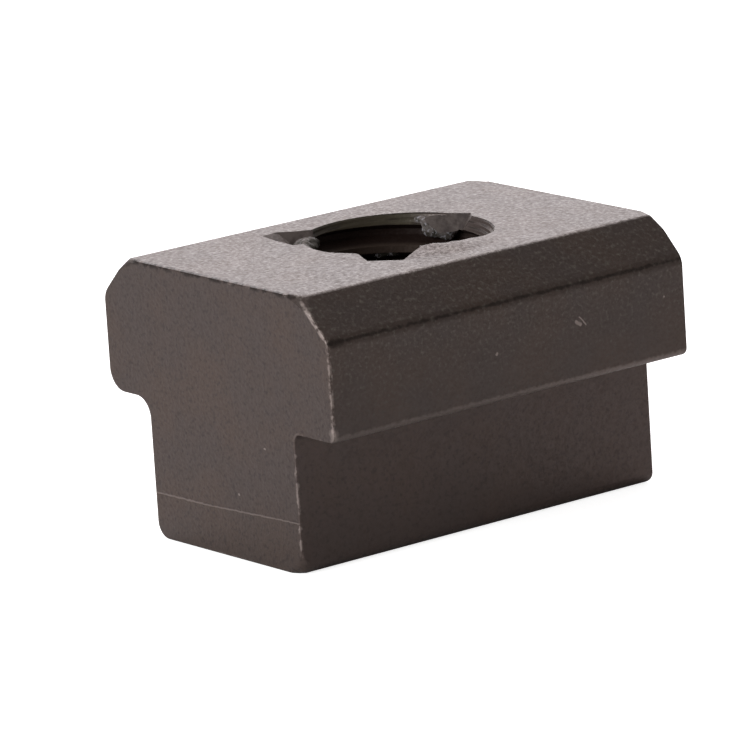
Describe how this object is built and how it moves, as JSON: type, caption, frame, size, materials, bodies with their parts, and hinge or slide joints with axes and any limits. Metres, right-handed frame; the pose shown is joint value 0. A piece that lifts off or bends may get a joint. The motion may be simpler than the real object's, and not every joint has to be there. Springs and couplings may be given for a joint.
{
  "type": "t slot nut",
  "caption": "Steel block of T section with chamfered flange edges and a tapped hole through it, staked by a three-cornered punch, to slide in a machine table's T slot.",
  "frame": {"origin": "middle of the neck face, which the nut rests on", "axes": "+X along the slot, +Y across the slot, +Z from the neck face up to the flange face; the stud comes in from -Z"},
  "size_m": [0.0222, 0.018, 0.014],
  "materials": {
    "blackened_steel": "black oxide on milled and sawn steel, satin, with worn bright edges"
  },
  "bodies": {
    "root": {"t_slot_nut": "blackened_steel"}
  },
  "joints": []
}
